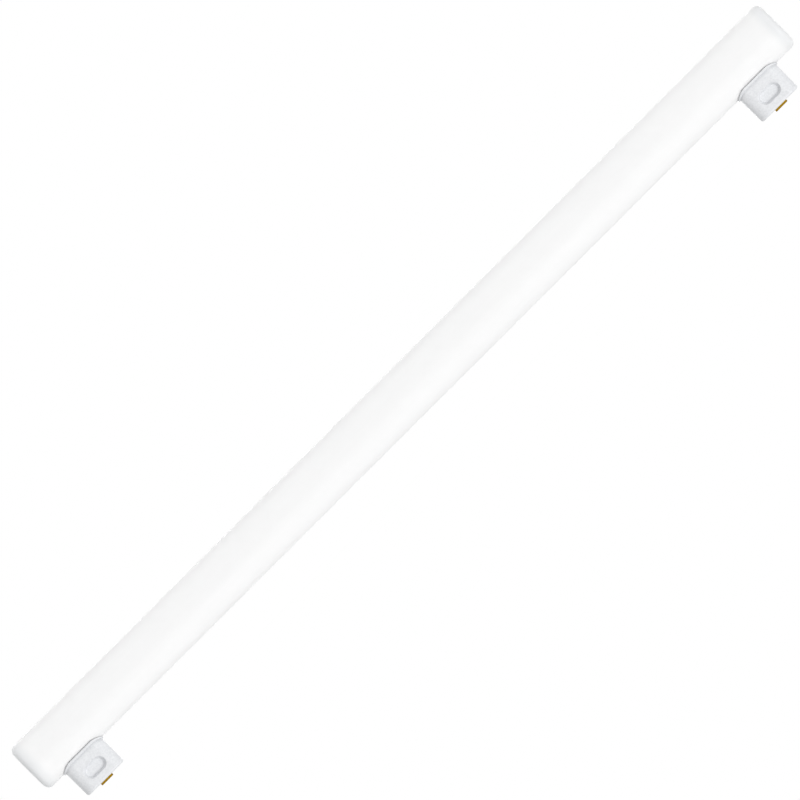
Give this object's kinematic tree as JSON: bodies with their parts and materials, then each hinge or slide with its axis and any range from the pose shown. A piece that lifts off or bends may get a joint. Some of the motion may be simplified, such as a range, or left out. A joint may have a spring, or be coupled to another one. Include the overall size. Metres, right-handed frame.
{
  "type": "tubular light bulb",
  "caption": "Straight opal strip lamp with flat rounded ends, and at each end a moulded side cap with saddle flange, latch recesses and a brass contact.",
  "frame": {"origin": "under the middle of the tube's length, level with the two contact faces", "axes": "+X along the tube, +Y across it, +Z from the contacts up to the tube; the caps point to -Z"},
  "size_m": [0.5, 0.0264, 0.043],
  "materials": {
    "opal_glass": "opal white, smooth",
    "cap_moulding": "white, satin moulded",
    "contact_brass": "pressed, satin",
    "lead_wire": "tinned, drawn",
    "cap_cement": "matt, hardened cement"
  },
  "bodies": {
    "root": {"opal_tube": "opal_glass", "left_cap": "cap_moulding", "right_cap": "cap_moulding", "left_contact": "contact_brass", "right_contact": "contact_brass", "left_lead_wire": "lead_wire", "right_lead_wire": "lead_wire", "left_adhesive": "cap_cement", "right_adhesive": "cap_cement"}
  },
  "joints": []
}
